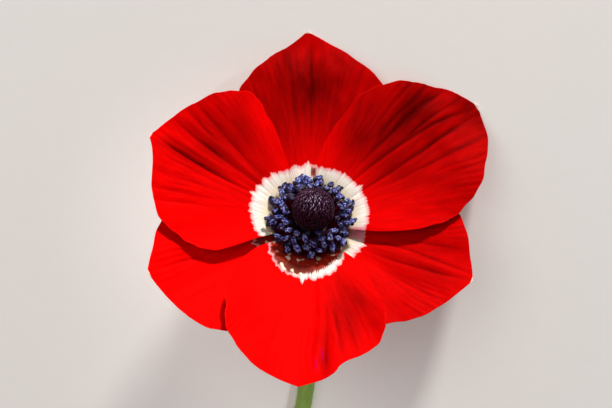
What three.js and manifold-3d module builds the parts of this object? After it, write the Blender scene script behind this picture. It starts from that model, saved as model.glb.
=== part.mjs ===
// A cut anemone flower, as picked, lying face up on a flat surface: six petals in two whorls, a ring of stamens,
// the dark pistil head and the stem that carries them. Millimetres, +Z up, the surface at z = 0.
// Compass angles are in degrees, counterclockwise from +X as seen from the front of the flower.
import * as THREE from "three";
import { mergeVertices } from "three/addons/utils/BufferGeometryUtils.js";
import Module from "manifold-3d";

const wasm = await Module();
wasm.setup();

const { degToRad, lerp, smoothstep } = THREE.MathUtils;

// Driving dimensions
const REACH = 38; // from the flower's axis to a typical petal tip
const PETAL_THICKNESS = 0.7;
const CLEARANCE = 0.3; // between pieces that grow on each other
const STEM_RADIUS = 1.7;
const STEM_LENGTH = 78; // from below the flower's middle to the cut end, along the surface
const STEM_SWEEP = 26; // how far the cut end lies to one side
const PRESSED_FLAT = 0.15; // how far the low spots are pressed flat where the flower lies

// How the flower lies: its axis leans from the vertical, away from the stem, until two petals touch the surface.
const LEAN = 30.5;
const LEAN_TOWARDS = 246.2;
const SEAT = new THREE.Vector3(2.9, -19.9, 12.2); // the middle of the flower's base

// Petals: where the tip points, the length from the flower's axis, how high the tip stands over the base, the half
// widths at WIDTH_STATIONS on either side, and the shape of the blade.
const CLAW_START = 2.95;
const CLAW_HALF_WIDTH = 2.6;
const WIDTH_STATIONS = [0.22, 0.42, 0.6, 0.74, 0.86, 0.94];
const PETALS = [
  {
    name: "petal_top",
    inner: false,
    points: 270,
    length: 40.4,
    rise: 10.5,
    counterclockwise: [8, 13.6, 14.6, 11.8, 6.6, 2.8],
    clockwise: [8, 13.8, 16, 14.3, 8.4, 4],
    cup: 0.4,
    tip: -2.8,
    folds: [{ at: 4, depth: -0.7, spread: 9 }],
    ruffle: { height: 0.35, waves: 5, shift: 4.7 },
  },
  {
    name: "petal_lower_left",
    inner: false,
    points: 23,
    length: 35.3,
    rise: 8,
    counterclockwise: [8, 14, 16.7, 16.3, 12.8, 6.8],
    clockwise: [7.5, 13, 13.8, 11.3, 7.2, 3.2],
    cup: 0.4,
    tip: 0.6,
    folds: [{ at: 10, depth: -0.5, spread: 8 }],
    ruffle: { height: 0.35, waves: 6, shift: 2.1 },
  },
  {
    name: "petal_lower_right",
    inner: false,
    points: 157,
    length: 34.3,
    rise: 8,
    counterclockwise: [8, 13.8, 15.4, 13.5, 9.5, 4.5],
    clockwise: [8, 14, 15.4, 13, 8.8, 4.1],
    cup: 0.4,
    tip: -0.4,
    folds: [
      { at: -12, depth: -0.6, spread: 6 },
      { at: 8, depth: -0.5, spread: 5 },
    ],
    ruffle: { height: 0.4, waves: 6, shift: 4.4 },
  },
  {
    name: "petal_upper_left",
    inner: true,
    points: 336,
    length: 35.4,
    rise: 8.5,
    counterclockwise: [8.3, 15.5, 15.8, 14.5, 9.7, 2.9],
    clockwise: [7.8, 14.6, 18, 15.3, 10.6, 5.2],
    cup: 0.2,
    tip: 0.4,
    folds: [
      { at: -4, depth: -0.6, spread: 5 },
      { at: 15, depth: 0.6, spread: 9 },
      { at: 38, depth: -1.2, spread: 10 },
    ],
    ruffle: { height: 0.45, waves: 6, shift: 1 },
  },
  {
    name: "petal_upper_right",
    inner: true,
    points: 215.5,
    length: 42.4,
    rise: 6.3,
    counterclockwise: [9.7, 13.6, 14.8, 12.3, 8.5, 4.9],
    clockwise: [9.7, 15.2, 16.3, 14.2, 10.1, 6],
    cup: 0.2,
    tip: -2.85,
    folds: [
      { at: 4, depth: 0.6, spread: 5 },
      { at: 17, depth: 0.5, spread: 6 },
      { at: -40, depth: -1.6, spread: 10 },
    ],
    ruffle: { height: 0.45, waves: 5, shift: 4.7 },
  },
  {
    name: "petal_bottom",
    inner: true,
    points: 84,
    length: 38,
    rise: 8.5,
    counterclockwise: [10, 14.2, 15.9, 13.5, 7.6, 5.1],
    clockwise: [10.8, 14.8, 15.3, 14.3, 11.1, 7],
    cup: 1.8,
    tip: 0.7,
    folds: [
      { at: 14, depth: 0.7, spread: 6 },
      { at: 27, depth: -0.5, spread: 6 },
    ],
    ruffle: { height: 0.45, waves: 6, shift: 5.2 },
  },
];

// Heights along the flower's axis, from its base
const OUTER_WHORL = 0.85;
const INNER_WHORL = OUTER_WHORL + PETAL_THICKNESS + CLEARANCE;
const INNER_SPRING = 1.3; // how much more an inner petal lifts off the outer ones, past the claws
const COLLAR_FOOT = 2.7;
const COLLAR_TOP = 3.7;
const PISTIL_FOOT = COLLAR_TOP + 0.5;
const PISTIL_TOP = 14.2;

const POST_RADIUS = 2.6; // the core of the receptacle, which everything grows on
const COLLAR_RADIUS = 4.2;
const PISTIL_RADIUS = 4.3;
const STAMENS = 60;
const FIRST_ANTHER_RING = 5.5;
const LAST_ANTHER_RING = 8.6;
const ANTHER = { length: 1.9, width: 1.15, depth: 0.95 };
const FILAMENT_RADIUS = 0.3;
const GOLDEN_ANGLE = 137.508;

const PETAL_ROWS = 13;
const PETAL_COLUMNS = 14;

const RED = { color: 0xd40a05, roughness: 0.55, metalness: 0 };
const GREEN = { color: 0x64803a, roughness: 0.6, metalness: 0 };
const BLUE_VIOLET = { color: 0x25244f, roughness: 0.5, metalness: 0 };
const DARK_PURPLE = { color: 0x1d1226, roughness: 0.5, metalness: 0 };

function solidOf(geometry) {
  const bare = geometry.clone();
  bare.deleteAttribute("normal");
  bare.deleteAttribute("uv");
  const merged = mergeVertices(bare, 1e-4);
  return new wasm.Manifold(
    new wasm.Mesh({
      numProp: 3,
      vertProperties: new Float32Array(merged.attributes.position.array),
      triVerts: new Uint32Array(merged.index.array),
    }),
  );
}

function geometryOf(solid) {
  const { vertProperties, triVerts } = solid.getMesh();
  const geometry = new THREE.BufferGeometry();
  geometry.setAttribute("position", new THREE.BufferAttribute(vertProperties, 3));
  geometry.setIndex(new THREE.BufferAttribute(triVerts, 1));
  geometry.computeVertexNormals();
  return geometry;
}

function namedMesh(name, geometry, finish) {
  const mesh = new THREE.Mesh(geometry, new THREE.MeshStandardMaterial(finish));
  mesh.name = name;
  return mesh;
}

// A repeatable draw between 0 and 1 for the i-th piece.
function draw(i, salt) {
  const wave = Math.sin(i * 12.9898 + salt * 78.233) * 43758.5453;
  return wave - Math.floor(wave);
}

// A point of the flower's own space, from a compass angle, a distance from the axis and a height along it.
function onFlower(compass, radius, height) {
  const angle = degToRad(compass);
  return new THREE.Vector3(radius * Math.cos(angle), radius * Math.sin(angle), height);
}

// A smooth curve through the points (xs, ys), read at x.
function through(xs, ys, x) {
  const last = xs.length - 1;
  const slope = (i) => {
    const before = Math.max(i - 1, 0);
    const after = Math.min(i + 1, last);
    return (ys[after] - ys[before]) / (xs[after] - xs[before]);
  };
  let i = 0;
  while (i < last - 1 && x > xs[i + 1]) i += 1;
  const step = xs[i + 1] - xs[i];
  const q = (x - xs[i]) / step;
  const start = 1 - q * q * (3 - 2 * q);
  return (
    ys[i] * start +
    ys[i + 1] * (1 - start) +
    slope(i) * step * q * (1 - q) * (1 - q) -
    slope(i + 1) * step * q * q * (1 - q)
  );
}

// Half the width of a petal at a share of its length, on one side of its middle line.
function halfWidth(petal, side, share) {
  const claw = CLAW_START / petal.length;
  return through([claw, ...WIDTH_STATIONS, 1], [CLAW_HALF_WIDTH, ...petal[side], 0], share);
}

// The bowl that all petals follow: each petal's rise, blended into its neighbours' round the flower.
function bowl(compass, radius) {
  let sum = 0;
  let weights = 0;
  for (const petal of PETALS) {
    const weight = Math.exp(6 * Math.cos(degToRad(compass - petal.points)));
    sum += weight * petal.rise;
    weights += weight;
  }
  const q = radius / REACH;
  return (sum / weights) * q * (0.7 + 0.3 * q);
}

// The height of a petal's upper face at a place along its middle line and across it.
function petalHeight(petal, along, across) {
  const radius = Math.hypot(along, across);
  const fan = THREE.MathUtils.radToDeg(Math.atan2(across, along));
  const share = along / petal.length;
  let height = bowl(petal.points + fan, radius);
  height += petal.inner ? INNER_WHORL + INNER_SPRING * smoothstep(radius, 4, 12) : OUTER_WHORL;
  height += petal.cup * (across / 16) ** 2 * smoothstep(share, 0.15, 0.6);
  height += petal.tip * smoothstep(share, 0.72, 1);
  for (const fold of petal.folds) {
    const nearness = Math.exp(-(((fan - fold.at) / fold.spread) ** 2));
    height += fold.depth * nearness * smoothstep(share, 0.2, 0.8);
  }
  const { height: ruffle, waves, shift } = petal.ruffle;
  height += ruffle * smoothstep(radius, 0.5 * REACH, REACH) * Math.sin(degToRad(fan * waves) * 2 + shift);
  return height;
}

// A petal is a thin blade: one grid of points for its upper face, the same grid lower down for its back, and a rim.
function petalGeometry(petal) {
  const points = [];
  const columnOf = (row, column) => (row === PETAL_ROWS ? 0 : column);
  for (const drop of [0, PETAL_THICKNESS]) {
    for (let row = 0; row <= PETAL_ROWS; row += 1) {
      const share = lerp(CLAW_START / petal.length, 1, 1 - (1 - row / PETAL_ROWS) ** 1.3);
      for (let column = 0; column <= PETAL_COLUMNS; column += 1) {
        const v = (2 * column) / PETAL_COLUMNS - 1;
        const side = v > 0 ? "counterclockwise" : "clockwise";
        const along = share * petal.length;
        const across = row === PETAL_ROWS ? 0 : v * halfWidth(petal, side, share);
        points.push(along, across, petalHeight(petal, along, across) - drop);
      }
    }
  }
  const faceSize = (PETAL_ROWS + 1) * (PETAL_COLUMNS + 1);
  const top = (row, column) => row * (PETAL_COLUMNS + 1) + columnOf(row, column);
  const back = (row, column) => faceSize + top(row, column);
  const index = [];
  const triangle = (a, b, c) => {
    if (a !== b && b !== c && a !== c) index.push(a, b, c);
  };
  const quad = (a, b, c, d) => {
    triangle(a, b, c);
    triangle(a, c, d);
  };
  for (let row = 0; row < PETAL_ROWS; row += 1) {
    for (let column = 0; column < PETAL_COLUMNS; column += 1) {
      const corners = [[row, column], [row + 1, column], [row + 1, column + 1], [row, column + 1]];
      quad(...corners.map(([i, j]) => top(i, j)));
      const [a, b, c, d] = corners.map(([i, j]) => back(i, j));
      triangle(a, c, b);
      triangle(a, d, c);
    }
    quad(top(row, 0), back(row, 0), back(row + 1, 0), top(row + 1, 0));
    const end = PETAL_COLUMNS;
    quad(top(row, end), top(row + 1, end), back(row + 1, end), back(row, end));
  }
  for (let column = 0; column < PETAL_COLUMNS; column += 1) {
    quad(top(0, column), top(0, column + 1), back(0, column + 1), back(0, column));
  }
  const geometry = new THREE.BufferGeometry();
  geometry.setAttribute("position", new THREE.Float32BufferAttribute(points, 3));
  geometry.setIndex(index);
  return geometry.rotateZ(degToRad(petal.points)).toNonIndexed();
}

// A straight rod with few sides between two points.
function rod(from, to, radius, sides) {
  const way = to.clone().sub(from);
  const geometry = new THREE.CylinderGeometry(radius, radius, way.length(), sides);
  const turn = new THREE.Quaternion().setFromUnitVectors(new THREE.Vector3(0, 1, 0), way.normalize());
  const middle = from.clone().add(to).multiplyScalar(0.5);
  return geometry.applyQuaternion(turn).translate(middle.x, middle.y, middle.z);
}

// One stamen: a filament and the anther on its end, long, narrow and turned its own way.
function stamenSolids(i) {
  const share = (i + 0.5) / STAMENS;
  const compass = i * GOLDEN_ANGLE;
  const ring = lerp(FIRST_ANTHER_RING, LAST_ANTHER_RING, share) + lerp(-0.2, 0.2, draw(i, 1));
  const height = lerp(8.3, 5.9, share) + lerp(-0.5, 0.5, draw(i, 2));
  const root = onFlower(compass, COLLAR_RADIUS - 0.6, COLLAR_TOP - 0.5);
  const end = onFlower(compass + lerp(-4, 4, draw(i, 3)), ring, height);
  const anther = new THREE.IcosahedronGeometry(0.5, 0)
    .scale(ANTHER.length, ANTHER.width, ANTHER.depth)
    .rotateZ(degToRad(lerp(-75, 75, draw(i, 4))))
    .rotateY(degToRad(lerp(-10, 35, draw(i, 5))))
    .rotateZ(degToRad(compass))
    .translate(end.x, end.y, end.z);
  return [rod(root, end, FILAMENT_RADIUS, 3), anther].map(solidOf);
}

function stamensGeometry() {
  const collar = new THREE.LatheGeometry(
    [
      new THREE.Vector2(POST_RADIUS + CLEARANCE, COLLAR_FOOT),
      new THREE.Vector2(COLLAR_RADIUS, COLLAR_FOOT),
      new THREE.Vector2(COLLAR_RADIUS, COLLAR_TOP - 0.3),
      new THREE.Vector2(COLLAR_RADIUS - 0.4, COLLAR_TOP),
      new THREE.Vector2(POST_RADIUS + CLEARANCE, COLLAR_TOP),
      new THREE.Vector2(POST_RADIUS + CLEARANCE, COLLAR_FOOT),
    ],
    20,
  ).rotateX(Math.PI / 2);
  let solid = solidOf(collar);
  for (let i = 0; i < STAMENS; i += 1) {
    for (const piece of stamenSolids(i)) solid = solid.add(piece);
  }
  return geometryOf(solid);
}

// The pistil head: an egg-shaped dome whose crowded style tips stand up in two sets of crossing spirals.
function pistilGeometry() {
  const [columns, rows] = [52, 22];
  const [rightSpirals, leftSpirals] = [13, 8];
  const tipHeight = 0.32;
  const middle = (PISTIL_FOOT + PISTIL_TOP) / 2;
  const profile = [];
  for (let row = 0; row <= rows; row += 1) {
    const angle = lerp(-0.92, 1, row / rows) * (Math.PI / 2);
    const half = angle < 0 ? (middle - PISTIL_FOOT) / Math.sin(0.92 * (Math.PI / 2)) : PISTIL_TOP - middle;
    profile.push(new THREE.Vector2(PISTIL_RADIUS * Math.cos(angle), middle + half * Math.sin(angle)));
  }
  profile[rows].x = 0;
  profile.unshift(new THREE.Vector2(0, PISTIL_FOOT));
  const geometry = new THREE.LatheGeometry(profile, columns).rotateX(Math.PI / 2);
  const position = geometry.attributes.position;
  const point = new THREE.Vector3();
  for (let i = 0; i < position.count; i += 1) {
    point.fromBufferAttribute(position, i);
    const radius = Math.hypot(point.x, point.y);
    const round = Math.atan2(point.y, point.x);
    const climb = (point.z - PISTIL_FOOT) * 0.75;
    const right = 0.5 + 0.5 * Math.cos(rightSpirals * round + climb * 3);
    const left = 0.5 + 0.5 * Math.cos(leftSpirals * round - climb * 3);
    const raised = tipHeight * right * left * smoothstep(radius, 0.4, 2) * smoothstep(point.z, PISTIL_FOOT, 6);
    const outward = new THREE.Vector3(point.x, point.y, point.z - middle).normalize();
    point.addScaledVector(outward, raised - tipHeight * 0.5 * smoothstep(radius, 0, 0.4));
    if (point.z < PISTIL_FOOT) point.z = PISTIL_FOOT;
    position.setXYZ(i, point.x, point.y, point.z);
  }
  return geometryOf(solidOf(geometry));
}

// The receptacle: the swollen end of the stem, with a shoulder under the petals and a post through them.
function receptacleGeometry() {
  const shoulder = OUTER_WHORL - PETAL_THICKNESS - CLEARANCE;
  return new THREE.LatheGeometry(
    [
      new THREE.Vector2(0, -4.5),
      new THREE.Vector2(STEM_RADIUS, -4.5),
      new THREE.Vector2(STEM_RADIUS + 0.3, -3),
      new THREE.Vector2(3.1, -1.6),
      new THREE.Vector2(3.7, -0.8),
      new THREE.Vector2(3.6, shoulder - 0.1),
      new THREE.Vector2(3.2, shoulder),
      new THREE.Vector2(POST_RADIUS, shoulder),
      new THREE.Vector2(POST_RADIUS, COLLAR_TOP),
      new THREE.Vector2(POST_RADIUS - 0.4, PISTIL_FOOT - CLEARANCE),
      new THREE.Vector2(0, PISTIL_FOOT - CLEARANCE),
    ],
    20,
  ).rotateX(Math.PI / 2);
}

// The stem's middle line: out of the flower's back, round the neck, then along the surface to the cut end.
function stemPath() {
  const back = new THREE.Vector3(0, 0, -1).applyQuaternion(head.quaternion);
  const start = SEAT.clone().addScaledVector(back, 2);
  const landing = new THREE.Vector3(SEAT.x + 1.3, SEAT.y + 21, STEM_RADIUS - PRESSED_FLAT);
  const end = new THREE.Vector3(SEAT.x + STEM_SWEEP, SEAT.y + STEM_LENGTH, landing.z);
  const path = new THREE.CurvePath();
  path.add(
    new THREE.CubicBezierCurve3(
      start,
      start.clone().addScaledVector(back, 7),
      landing.clone().add(new THREE.Vector3(0, -11, 0)),
      landing,
    ),
  );
  path.add(
    new THREE.CubicBezierCurve3(
      landing,
      landing.clone().add(new THREE.Vector3(0, 28, 0)),
      end.clone().add(new THREE.Vector3(-13, -14, 0)),
      end,
    ),
  );
  return path;
}

function stemGeometry() {
  const section = new THREE.Shape().absarc(0, 0, STEM_RADIUS, 0, 2 * Math.PI);
  const tube = new THREE.ExtrudeGeometry(section, {
    steps: 34,
    curveSegments: 5,
    extrudePath: stemPath(),
  });
  const receptacle = receptacleGeometry().applyMatrix4(head.matrix);
  return geometryOf(solidOf(tube).add(solidOf(receptacle)).subtract(surfaceSolid()));
}

// The surface that the flower lies on, which presses the low spots flat.
function surfaceSolid(space = new THREE.Matrix4()) {
  const depth = 5;
  const slab = new THREE.BoxGeometry(200, 200, depth).translate(0, 0, -depth / 2);
  return solidOf(slab.applyMatrix4(space));
}

const head = new THREE.Group();
const leanAxis = onFlower(LEAN_TOWARDS + 90, 1, 0);
head.quaternion.setFromAxisAngle(leanAxis, degToRad(LEAN));
head.position.copy(SEAT);
head.updateMatrix();

for (const petal of PETALS) {
  const surface = surfaceSolid(head.matrix.clone().invert());
  const blade = solidOf(petalGeometry(petal)).subtract(surface);
  head.add(namedMesh(petal.name, geometryOf(blade), RED));
}
head.add(namedMesh("stamens", stamensGeometry(), BLUE_VIOLET));
head.add(namedMesh("pistil_head", pistilGeometry(), DARK_PURPLE));

const flower = new THREE.Group();
flower.add(head);
flower.add(namedMesh("stem", stemGeometry(), GREEN));

export default flower;
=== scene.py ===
"""A cut anemone flower lying face up on a pale floor."""
import math

import bpy
import numpy as np
from mathutils import Matrix, Quaternion, Vector


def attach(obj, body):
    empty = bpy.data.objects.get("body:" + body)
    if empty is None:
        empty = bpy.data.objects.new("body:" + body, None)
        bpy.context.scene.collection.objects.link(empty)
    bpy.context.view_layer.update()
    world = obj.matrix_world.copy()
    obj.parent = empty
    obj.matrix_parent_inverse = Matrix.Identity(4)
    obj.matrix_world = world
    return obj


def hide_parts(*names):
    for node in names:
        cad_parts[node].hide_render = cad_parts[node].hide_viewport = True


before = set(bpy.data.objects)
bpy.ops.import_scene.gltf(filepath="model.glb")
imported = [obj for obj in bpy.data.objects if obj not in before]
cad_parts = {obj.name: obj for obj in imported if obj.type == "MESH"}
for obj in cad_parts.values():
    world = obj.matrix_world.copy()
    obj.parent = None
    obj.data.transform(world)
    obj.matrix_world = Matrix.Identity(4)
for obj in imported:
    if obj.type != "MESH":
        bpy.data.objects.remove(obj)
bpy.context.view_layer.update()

MM = 0.001

# How the flower lies, and its main sizes, in millimetres and degrees. The model has the same. Compass
# angles run counterclockwise from +X.
LEAN = 30.5
LEAN_TOWARDS = 246.2
SEAT = Vector((2.9, -19.9, 12.2))  # the middle of the flower's base
REACH = 38  # from the flower's axis to a typical petal tip
STEM_RADIUS = 1.7
STEM_LENGTH = 78  # from below the flower's middle to the cut end, along the surface
STEM_SWEEP = 26  # how far the cut end lies to one side
STEM_LANDING = (1.3, 21)  # where the stem comes down to the surface, from below the flower's middle
PRESSED_FLAT = 0.15
PETAL_THICKNESS = 0.7
CLEARANCE = 0.3  # between pieces that grow on each other
GOLDEN_ANGLE = 137.508
OFF_PATH = (0.31, 0.17, 0.94)  # a direction that no filament, style or stem follows

# The petals, as in the model: each tip's compass angle, distance and height, the half widths at the
# stations, which are shares of the length, and the shape of the blade
CLAW_START = 2.95
CLAW_HALF_WIDTH = 2.6
WIDTH_STATIONS = [0.22, 0.42, 0.6, 0.74, 0.86, 0.94]
PETALS = [
    {
        "name": "petal_top",
        "inner": False,
        "points": 270,
        "length": 40.4,
        "rise": 10.5,
        "counterclockwise": [8, 13.6, 14.6, 11.8, 6.6, 2.8],
        "clockwise": [8, 13.8, 16, 14.3, 8.4, 4],
        "cup": 0.4,
        "tip": -2.8,
        "folds": [(4, -0.7, 9)],
        "ruffle": (0.35, 5, 4.7),
    },
    {
        "name": "petal_lower_left",
        "inner": False,
        "points": 23,
        "length": 35.3,
        "rise": 8,
        "counterclockwise": [8, 14, 16.7, 16.3, 12.8, 6.8],
        "clockwise": [7.5, 13, 13.8, 11.3, 7.2, 3.2],
        "cup": 0.4,
        "tip": 0.6,
        "folds": [(10, -0.5, 8)],
        "ruffle": (0.35, 6, 2.1),
    },
    {
        "name": "petal_lower_right",
        "inner": False,
        "points": 157,
        "length": 34.3,
        "rise": 8,
        "counterclockwise": [8, 13.8, 15.4, 13.5, 9.5, 4.5],
        "clockwise": [8, 14, 15.4, 13, 8.8, 4.1],
        "cup": 0.4,
        "tip": -0.4,
        "folds": [(-12, -0.6, 6), (8, -0.5, 5)],
        "ruffle": (0.4, 6, 4.4),
    },
    {
        "name": "petal_upper_left",
        "inner": True,
        "points": 336,
        "length": 35.4,
        "rise": 8.5,
        "counterclockwise": [8.3, 15.5, 15.8, 14.5, 9.7, 2.9],
        "clockwise": [7.8, 14.6, 18, 15.3, 10.6, 5.2],
        "cup": 0.2,
        "tip": 0.4,
        "folds": [(-4, -0.6, 5), (15, 0.6, 9), (38, -1.2, 10)],
        "ruffle": (0.45, 6, 1),
    },
    {
        "name": "petal_upper_right",
        "inner": True,
        "points": 215.5,
        "length": 42.4,
        "rise": 6.3,
        "counterclockwise": [9.7, 13.6, 14.8, 12.3, 8.5, 4.9],
        "clockwise": [9.7, 15.2, 16.3, 14.2, 10.1, 6],
        "cup": 0.2,
        "tip": -2.85,
        "folds": [(4, 0.6, 5), (17, 0.5, 6), (-40, -1.6, 10)],
        "ruffle": (0.45, 5, 4.7),
    },
    {
        "name": "petal_bottom",
        "inner": True,
        "points": 84,
        "length": 38,
        "rise": 8.5,
        "counterclockwise": [10, 14.2, 15.9, 13.5, 7.6, 5.1],
        "clockwise": [10.8, 14.8, 15.3, 14.3, 11.1, 7],
        "cup": 1.8,
        "tip": 0.7,
        "folds": [(14, 0.7, 6), (27, -0.5, 6)],
        "ruffle": (0.45, 6, 5.2),
    },
]

# Heights along the flower's axis, from its base, and radii round it, as in the model
OUTER_WHORL = 0.85
INNER_WHORL = OUTER_WHORL + PETAL_THICKNESS + CLEARANCE
INNER_SPRING = 1.3  # how much more an inner petal lifts off the outer ones, past the claws
COLLAR_FOOT = 2.7
COLLAR_TOP = 3.7
PISTIL_FOOT = COLLAR_TOP + 0.5
PISTIL_TOP = 14.2
POST_RADIUS = 2.6  # the core of the receptacle, which everything grows on
COLLAR_RADIUS = 4.2
PISTIL_RADIUS = 4.3

# The blade of a petal, as in the model: how sharply its rise gives way to its neighbour's, then where each
# form sets in and where it is full, in radii or in shares of the length
RISE_BLEND = 6
SPRING_ZONE = (4, 12)
CUP_ZONE = (0.15, 0.6)
CUP_HALF_WIDTH = 16
TIP_ZONE = (0.72, 1)
FOLD_ZONE = (0.2, 0.8)
RUFFLE_ZONE = (0.5 * REACH, REACH)

# The fine surface of a petal
PETAL_ROWS = 130
PETAL_COLUMNS = 150
ROW_CROWDING = 1.3  # more than 1 sets the rows closer towards the tip
COLUMN_CROWDING = 0.92  # nearer to 1 sets the columns closer towards the margins
FINE_THICKNESS = 0.36
SUNK = 0.15  # the upper face lies this far inside the solid's
LOWEST = 0.02  # of a petal, over the floor
THINNEST_HALF_WIDTH = 0.12
CREASE_ROUNDING = 0.3  # of a crease's edge, as a share of its spread
# How dark and how wide the painted shade along a furrow is
CREASE_PAINTED_SHADE = 1.1
CREASE_PAINTED_SHADE_SPREAD = 0.7
SMALL_PLEATS = 14
RIB_HEIGHT = 0.003
WAVY_PLEAT_HEIGHT = 0.05
SWELL_HEIGHT = 0.15
WRINKLE_HEIGHT = 0.05

# Creases that run out from the heart: the angle of each from the petal's middle line at the claw and at
# the tip, its height, less than 0 in a furrow, its spread, and the shares of the length where it starts and
# is full
CREASES = {
    "petal_top": [
        (-2, -1, -0.28, 1.4, 0.3, 0.75),
        (3, 2, 0.18, 1.2, 0.4, 0.8),
        (8, 6, -0.14, 1.2, 0.4, 0.8),
        (-8, -6, 0.18, 1.4, 0.4, 0.8),
        (-14, -11, -0.14, 1.4, 0.4, 0.8),
    ],
    "petal_lower_left": [
        (-4, 0, -0.35, 1.5, 0.4, 0.85),
        (-9, -7, 0.25, 1.5, 0.4, 0.8),
        (16, 12, 0.2, 2, 0.4, 0.8),
    ],
    "petal_lower_right": [
        (12, 1.5, -0.26, 0.9, 0.3, 0.65),
        (-8, 0, -0.3, 0.9, 0.3, 0.65),
        (2, 1, 0.2, 2, 0.3, 0.8),
        (14, 10, -0.14, 1.2, 0.3, 0.7),
        (-16, -11, -0.1, 1.2, 0.3, 0.7),
        (-24, -18, 0.08, 2, 0.4, 0.8),
    ],
    "petal_upper_left": [
        (1.5, -1, -0.7, 0.9, 0.25, 0.6),
        (-4, -4.5, 0.35, 2, 0.3, 0.65),
        (-10.5, -9.5, -0.35, 0.9, 0.15, 0.5),
        (-10, -17, -0.25, 1, 0.55, 0.75),
        (-14, -13, 0.3, 1.6, 0.2, 0.6),
        (-17.5, -21, -0.3, 1.4, 0.2, 0.55),
        (-27, -28, 0.2, 2, 0.3, 0.7),
        (-5, -3, -0.12, 0.8, 0.15, 0.4),
        (6, 4, -0.12, 0.8, 0.15, 0.4),
        (12, 9, 0.12, 2, 0.4, 0.8),
        (9, 11, -0.15, 0.7, 0.45, 0.7),
        (15.5, 17.5, -0.18, 0.7, 0.42, 0.65),
        (19, 22.5, -0.15, 0.7, 0.45, 0.65),
    ],
    "petal_upper_right": [
        (12, 0, -0.35, 0.9, 0.1, 0.4),
        (-5.5, -1.5, -0.35, 0.9, 0.1, 0.4),
        (17, 8.5, -0.25, 0.9, 0.3, 0.6),
        (10, 4, -0.25, 1, 0.4, 0.7),
        (-11, -9, -0.3, 1.2, 0.3, 0.6),
        (20, 13, -0.2, 1, 0.4, 0.7),
        (24, 17, -0.15, 1, 0.4, 0.7),
        (-22, -16, -0.12, 1.5, 0.4, 0.7),
        (-49, -49, -0.5, 4, 0.02, 0.12),
    ],
    "petal_bottom": [
        (15.4, 3.3, 0.4, 1.2, 0.25, 0.5),
        (18, 6.8, -0.2, 0.9, 0.4, 0.7),
        (20, 13, -0.2, 1, 0.35, 0.65),
        (23, 20, -0.2, 1, 0.35, 0.65),
        (-40, -27, 0.6, 6, 0.35, 0.65),
        (30, 26, 0.25, 1.2, 0.3, 0.7),
        (-4, -8, -0.15, 1.4, 0.5, 0.9),
    ],
}

# Painted shade: darker patches where a blade turns away from the light. Of each: the angle and the share of
# the length of its middle, its strength, and its spread in both
PAINTED_SHADES = {
    "petal_top": [
        (0, 0.78, 0.61, 60, 0.4),
        (0, 0.66, 0.3, 14, 0.18),
        (-20, 0.48, 0.3, 10, 0.12),
        (18, 0.45, 0.25, 14, 0.15),
        (10, 0.85, 0.14, 7, 0.1),
    ],
    "petal_lower_left": [(-16, 0.6, 0.15, 10, 0.25)],
    "petal_lower_right": [(0, 0.75, 0.45, 60, 0.35), (1, 0.45, 0.2, 5, 0.15), (-30, 0.45, 0.1, 8, 0.12)],
    "petal_upper_left": [
        (-18, 0.6, 0.52, 14, 0.28),
        (-31, 0.55, 0.35, 6, 0.15),
        (-0.5, 0.78, 0.45, 4, 0.25),
        (-9, 0.65, 0.25, 4, 0.1),
        (9, 0.65, 0.25, 9, 0.3),
        (-12, 0.8, 0.12, 6, 0.12),
        (-15, 0.33, 0.25, 25, 0.1),
    ],
    "petal_upper_right": [
        (0, 0.78, 0.65, 60, 0.45),
        (26, 0.42, 0.45, 12, 0.15),
        (13, 0.6, 0.25, 6, 0.15),
        (11, 0.75, 0.25, 5, 0.1),
        (0, 0.45, 0.25, 16, 0.12),
        (0, 0.97, 0.3, 10, 0.08),
    ],
    "petal_bottom": [
        (32, 0.45, 0.4, 9, 0.15),
        (18, 0.6, 0.35, 7, 0.15),
        (25, 0.5, 0.25, 14, 0.25),
        (8.5, 0.84, 0.42, 4, 0.2),
        (-25, 0.53, 0.12, 8, 0.1),
    ],
}

# Thin magenta streaks of painted sheen, a reflection along the creases: the angle and the share of the
# length of each, and its spread in both
SHEEN_STREAKS = {"petal_bottom": [(7.6, 0.8, 0.35, 0.03), (5.2, 0.86, 0.35, 0.03)]}

# The white heart
HEART_FAN = 45
TOOTH_LENGTH = 0.85
TOOTH_SPREAD = 1.3
# Its radius on each petal where it is longest, how much shorter it is HEART_FAN degrees away, and at which
# angle it is longest
HEARTS = {
    "petal_top": (12.4, 0.8, 0),
    "petal_lower_left": (11.8, 0.6, 0),
    "petal_lower_right": (11.4, 1.2, 0),
    "petal_upper_left": (12.4, 1.5, 0),
    "petal_upper_right": (12.2, 1.1, 0),
    "petal_bottom": (13.4, 2.9, -2.6),
}
# Where it has a painted shadow of the stamens and of the petal above, dark rosy brown: out to which radius
# where it is longest, how much less for each degree counterclockwise from there, and how far past its
# margin at most
HEART_SHADOWS = {"petal_bottom": (12.5, 0.065, 0.3), "petal_lower_left": (12.7, 0, 0.1)}
# Small painted shadows in it where a neighbouring petal's margin shades it, brown, or rosy where lit red
# through
# that petal: the angle and the radius of each, and its spread in both
BROWN_SHADOW_PATCHES = {"petal_top": (-5.5, 11.3, 2.8, 1.3)}
ROSY_SHADOW_PATCHES = {"petal_upper_right": (-47, 10.3, 4, 2.2), "petal_lower_right": (12, 10.2, 8, 2.2)}

# The stamens: rings and heights of the anthers from the innermost to the outermost, first those of the
# model, then the others between them
STAMENS = 60
ANTHER_RINGS = (5.5, 8.6)
ANTHER_HEIGHTS = (8.3, 5.9)
MORE_STAMENS = 56
MORE_RINGS = (4.9, 8.4)
MORE_HEIGHTS = (8.6, 4.9)
ANTHER_LENGTH, ANTHER_WIDTH, ANTHER_DEPTH = 1.9, 1.15, 0.95
ANTHER_ROWS, ANTHER_SIDES = 14, 18
FURROW_DEPTH = 0.34
FURROW_SPREAD = 0.3
FILAMENT_RADII = (0.2, 0.13)
FILAMENT_POINTS, FILAMENT_SIDES = 9, 7
COLLAR_SIDES = 48
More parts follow.
